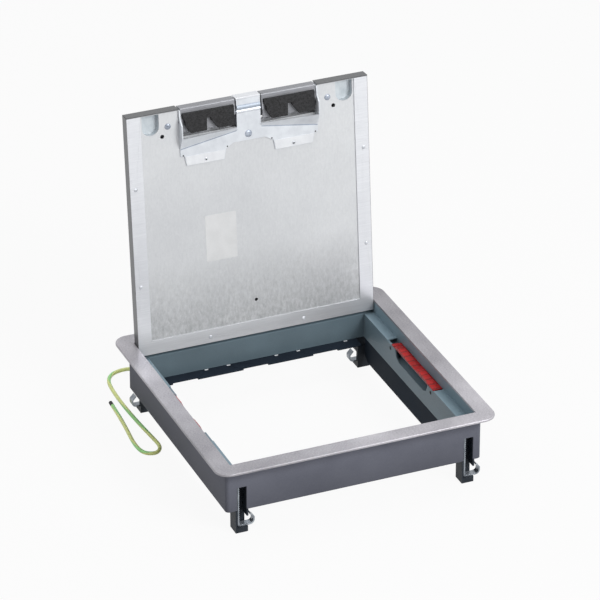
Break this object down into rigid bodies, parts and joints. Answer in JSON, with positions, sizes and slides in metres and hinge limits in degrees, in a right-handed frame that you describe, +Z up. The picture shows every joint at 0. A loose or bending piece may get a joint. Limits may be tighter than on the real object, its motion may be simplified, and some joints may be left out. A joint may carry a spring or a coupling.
{
  "type": "floor socket box",
  "caption": "Square floor box with a trim flange, a hinged lid with a cable outlet, clamp claws at the corners, red lock grips and an earth wire",
  "frame": {"origin": "middle of the box on the plane of the four post feet", "axes": "+X to the right and +Y to the hinge side as seen from the outlet side, +Z up out of the floor; the lid is drawn open"},
  "size_m": [0.3115, 0.3611, 0.3295],
  "materials": {
    "flange_metal": "satin, finely blasted",
    "skirt_paint": "satin grey paint",
    "frame_sheet": "satin blue-grey coating",
    "dark_sheet": "matt charcoal coating",
    "post_plastic": "moulded, fine grain",
    "zinc_sheet": "bright zinc plate",
    "grip_plastic": "moulded red",
    "lid_steel": "fine brushed stainless sheet",
    "galvanised_sheet": "galvanised, faint spangle",
    "flap_aluminium": "satin extrusion",
    "foam": "closed-cell foam",
    "screw_steel": "zinc-plated fasteners",
    "tinned_copper": "tin-plated copper",
    "black_plastic": "moulded black",
    "wire_insulation": "green and yellow flexible insulation"
  },
  "bodies": {
    "box": {"trim_flange": "flange_metal", "outer_skirt": "skirt_paint", "ledge_frame": "frame_sheet", "side_plate_left": "dark_sheet", "side_plate_right": "dark_sheet", "cross_rail_front": "dark_sheet", "cross_rail_back": "dark_sheet", "post_front_left": "post_plastic", "post_front_right": "post_plastic", "post_back_left": "post_plastic", "post_back_right": "post_plastic", "lock_track_left": "frame_sheet", "lock_track_right": "frame_sheet", "track_screws": "screw_steel", "hinge_bush_left": "black_plastic", "hinge_bush_right": "black_plastic", "earth_screw": "screw_steel", "earth_nut": "screw_steel", "earth_lug": "tinned_copper", "earth_wire": "wire_insulation", "wire_end_sleeve": "black_plastic"},
    "lid": {"lid_shell": "lid_steel", "lid_base_plate": "galvanised_sheet", "finger_cup_left": "zinc_sheet", "finger_cup_right": "zinc_sheet", "outlet_bracket": "zinc_sheet", "lid_hinge_block_left": "black_plastic", "lid_hinge_block_right": "black_plastic", "lid_hinge_pins": "screw_steel", "lid_rivets": "screw_steel", "lid_screws": "screw_steel", "flap_pins": "screw_steel"},
    "flap_left": {"flap_left": "flap_aluminium", "flap_foam_left": "foam"},
    "flap_right": {"flap_right": "flap_aluminium", "flap_foam_right": "foam"},
    "lock_slide_left": {"lock_grip_left_front": "grip_plastic", "lock_grip_left_back": "grip_plastic"},
    "lock_slide_right": {"lock_grip_right_front": "grip_plastic", "lock_grip_right_back": "grip_plastic"},
    "claw_front_left": {"claw_front_left": "zinc_sheet"},
    "claw_front_right": {"claw_front_right": "zinc_sheet"},
    "claw_back_left": {"claw_back_left": "zinc_sheet"},
    "claw_back_right": {"claw_back_right": "zinc_sheet"}
  },
  "joints": [
    {"name": "lid_hinge", "type": "hinge", "parent": "box", "child": "lid", "pos_m": [0, 0.1255, 0.073], "axis": [1, 0, 0], "range_deg": [0, 95]},
    {"name": "flap_left_hinge", "type": "hinge", "parent": "lid", "child": "flap_left", "pos_m": [0, 0.14261, 0.31443], "axis": [-1, 0, 0], "range_deg": [0, 80]},
    {"name": "flap_right_hinge", "type": "hinge", "parent": "lid", "child": "flap_right", "pos_m": [0, 0.14261, 0.31443], "axis": [-1, 0, 0], "range_deg": [0, 80]},
    {"name": "lock_right_slide", "type": "slide", "parent": "box", "child": "lock_slide_right", "axis": [0, 1, 0], "range_m": [0, 0.009]},
    {"name": "lock_left_slide", "type": "slide", "parent": "box", "child": "lock_slide_left", "axis": [0, -1, 0], "range_m": [0, 0.009]},
    {"name": "claw_front_left_slide", "type": "slide", "parent": "box", "child": "claw_front_left", "axis": [0, 0, 1], "range_m": [0, 0.01]},
    {"name": "claw_front_right_slide", "type": "slide", "parent": "box", "child": "claw_front_right", "axis": [0, 0, 1], "range_m": [0, 0.007]},
    {"name": "claw_back_left_slide", "type": "slide", "parent": "box", "child": "claw_back_left", "axis": [0, 0, 1], "range_m": [0, 0.007]},
    {"name": "claw_back_right_slide", "type": "slide", "parent": "box", "child": "claw_back_right", "axis": [0, 0, 1], "range_m": [0, 0.01]}
  ]
}
